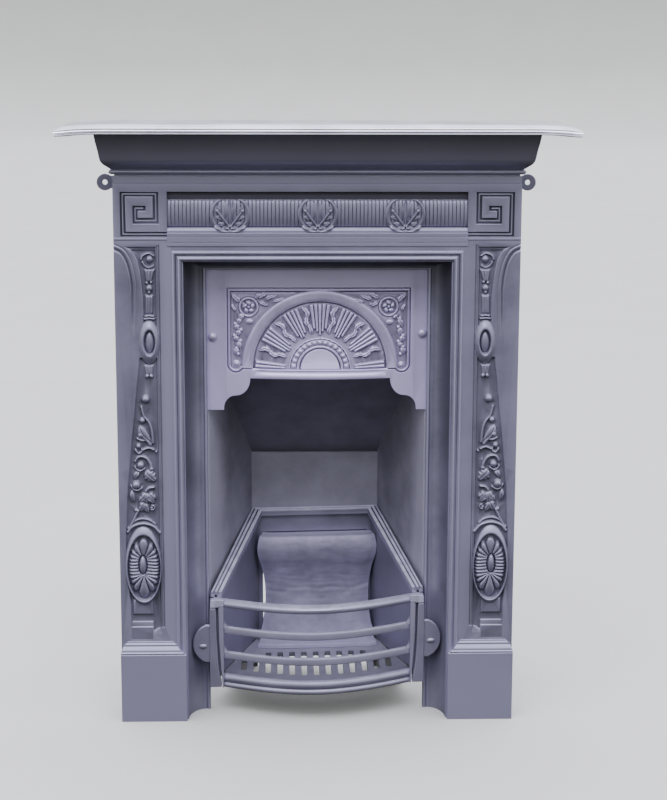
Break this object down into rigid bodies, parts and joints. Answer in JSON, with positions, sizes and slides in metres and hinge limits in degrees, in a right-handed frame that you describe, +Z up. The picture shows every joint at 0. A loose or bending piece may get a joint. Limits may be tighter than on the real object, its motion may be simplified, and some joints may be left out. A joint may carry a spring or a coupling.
{
  "type": "fireplace",
  "caption": "Small cast iron combination fireplace with a mantel shelf, a reeded frieze, carved jambs, a fan-carved smoke hood and a bowed fire basket.",
  "frame": {"origin": "on the hearth, below the middle of the whole object's box", "axes": "+Z up, -Y out of the front towards the room, +X to the right seen from the room"},
  "size_m": [0.7584, 0.3417, 0.93],
  "materials": {
    "surround_iron": "satin black grate paint",
    "shelf_iron": "satin black grate paint",
    "hood_iron": "satin black grate paint",
    "screw_iron": "satin black grate paint",
    "firebox_iron": "matt black heat paint",
    "basket_iron": "satin black grate paint",
    "grate_iron": "matt black grate paint",
    "brick_iron": "satin black grate paint",
    "bars_iron": "satin black grate paint"
  },
  "bodies": {
    "root": {"surround": "surround_iron", "mantel_shelf": "shelf_iron", "hood": "hood_iron", "hood_screw_left": "screw_iron", "hood_screw_right": "screw_iron", "firebox": "firebox_iron", "fire_basket": "basket_iron", "bottom_grate": "grate_iron", "back_brick": "brick_iron", "front_bars": "bars_iron"}
  },
  "joints": []
}
